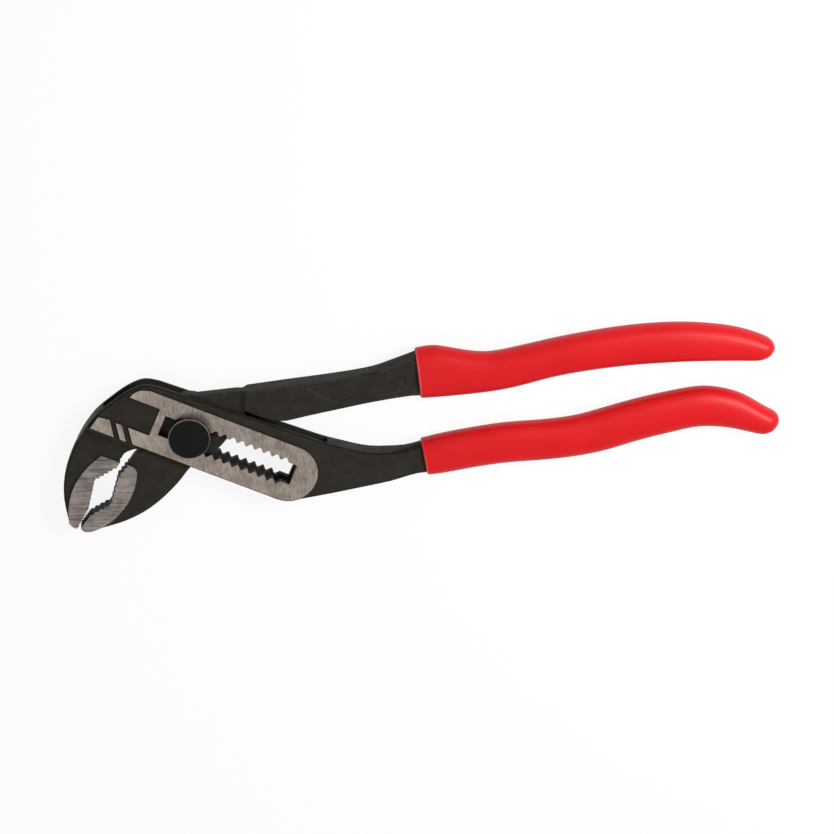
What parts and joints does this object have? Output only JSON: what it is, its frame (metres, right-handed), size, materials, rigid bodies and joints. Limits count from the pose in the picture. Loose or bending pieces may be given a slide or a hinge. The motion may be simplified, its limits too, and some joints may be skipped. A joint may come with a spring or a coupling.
{
  "type": "water pump pliers",
  "caption": "Water pump pliers with angled serrated jaws, a box joint that slides in a toothed slot under a push-button lock, and dipped grips on both handles.",
  "frame": {"origin": "below the middle of the whole tool as it lies flat with its button up, on the plane of the rear cheek face and the grips", "axes": "+X along the handles from the jaws to the handle ends, +Y towards the tongue arm's handle, +Z along the pivot axis towards the button"},
  "size_m": [0.2522, 0.077, 0.0142],
  "materials": {
    "forging": "black phosphate on forged steel, with ground bright faces",
    "steel": "plain turned and pressed steel",
    "button": "black oxide, satin",
    "vinyl": "dipped soft vinyl, satin red"
  },
  "bodies": {
    "slotted_arm": {"slotted_arm": "forging", "lower_grip": "vinyl"},
    "joint_carriage": {"slide_washer": "steel", "return_spring": "steel"},
    "tongue_arm": {"tongue_arm": "forging", "upper_grip": "vinyl"},
    "lock": {"pivot_bolt": "steel", "lock_collar": "steel", "push_button": "button"}
  },
  "joints": [
    {"name": "size_slide", "type": "slide", "parent": "slotted_arm", "child": "joint_carriage", "axis": [0.9272, -0.3746, 0], "range_m": [0, 0.01968]},
    {"name": "jaw_hinge", "type": "hinge", "parent": "joint_carriage", "child": "tongue_arm", "pos_m": [-0.08229, -0.00175, 0.0053], "axis": [0, 0, 1], "range_deg": [0, 45]},
    {"name": "button_press", "type": "slide", "parent": "joint_carriage", "child": "lock", "axis": [0, 0, -1], "range_m": [0, 0.0014], "stiffness_N_per_m": 1200, "springref_m": -0.001, "deforming": ["return_spring"]}
  ]
}
